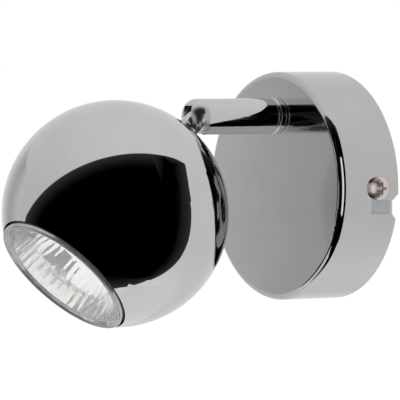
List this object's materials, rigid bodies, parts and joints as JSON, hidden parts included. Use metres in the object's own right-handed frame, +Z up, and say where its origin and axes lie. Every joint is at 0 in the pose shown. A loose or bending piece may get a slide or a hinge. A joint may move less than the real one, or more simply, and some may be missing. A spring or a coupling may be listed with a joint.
{
  "type": "pivoting spotlight wall light",
  "caption": "Wall spotlight with a round canopy, a straight swivelling arm and a tilting ball head that holds a twist-lock reflector lamp.",
  "frame": {"origin": "centre of the wall strap's back face, on the wall", "axes": "+Y into the wall, -Y into the room along the arm, +Z up, +X towards the side screw seen in the picture"},
  "size_m": [0.0852, 0.1303, 0.0875],
  "materials": {
    "polished_chrome": "polished chrome plate on steel",
    "nickel_steel": "nickel-plated steel",
    "zinc_steel": "zinc-plated steel",
    "bracket_steel": "zinc-plated sheet steel",
    "spring_steel": "dark spring steel",
    "terminal_plastic": "cream moulded plastic",
    "terminal_brass": "machined brass",
    "lug_brass": "tinned brass",
    "contact_brass": "spring brass",
    "pin_metal": "nickel-plated pins",
    "earth_insulation": "green and yellow insulation",
    "neutral_insulation": "blue insulation",
    "live_insulation": "brown insulation",
    "bush_plastic": "natural moulded plastic",
    "washer_plastic": "dark low-friction plastic",
    "sleeve_plastic": "woven insulating sleeve",
    "holder_ceramic": "unglazed ceramic",
    "lamp_ceramic": "unglazed ceramic",
    "lamp_mirror": "pressed glass, mirrored inside",
    "lamp_glass": "clear glass"
  },
  "bodies": {
    "mount": {"wall_bracket": "bracket_steel", "canopy": "polished_chrome", "canopy_screws": "nickel_steel", "stop_peg": "bracket_steel", "terminal_block": "terminal_plastic", "terminal_clamps": "terminal_brass", "terminal_screws": "zinc_steel", "block_screw": "zinc_steel", "earth_screw": "zinc_steel", "earth_washer": "zinc_steel", "earth_lug": "lug_brass", "earth_lead": "earth_insulation", "neutral_lead_canopy": "neutral_insulation", "live_lead_canopy": "live_insulation"},
    "arm": {"foot_ring": "polished_chrome", "arm_tube": "polished_chrome", "threaded_nipple": "zinc_steel", "nipple_bush": "bush_plastic", "swivel_friction_washer": "washer_plastic", "stop_washer": "zinc_steel", "swivel_spring_washer": "spring_steel", "nipple_nut": "zinc_steel", "pivot_pins": "polished_chrome", "pivot_washers": "washer_plastic", "lead_sleeve": "sleeve_plastic", "neutral_lead_arm": "neutral_insulation", "live_lead_arm": "live_insulation"},
    "head": {"tilt_stem": "polished_chrome", "ball_shell": "polished_chrome", "seat_washer": "zinc_steel", "holder_bracket": "bracket_steel", "stem_nut": "zinc_steel", "lamp_holder": "holder_ceramic", "holder_contacts": "contact_brass", "holder_screws": "zinc_steel", "neutral_lead_head": "neutral_insulation", "live_lead_head": "live_insulation", "lamp_reflector": "lamp_mirror", "lamp_front_glass": "lamp_glass", "lamp_base": "lamp_ceramic", "lamp_pins": "pin_metal", "lamp_burner": "lamp_glass"}
  },
  "joints": [
    {"name": "arm_swivel", "type": "hinge", "parent": "mount", "child": "arm", "pos_m": [0, 0, 0.0246], "axis": [0, 1, 0], "range_deg": [-160, 160]},
    {"name": "head_tilt", "type": "hinge", "parent": "arm", "child": "head", "pos_m": [0, -0.057, 0.0246], "axis": [1, 0, 0], "range_deg": [-44.1, 34.9]}
  ]
}
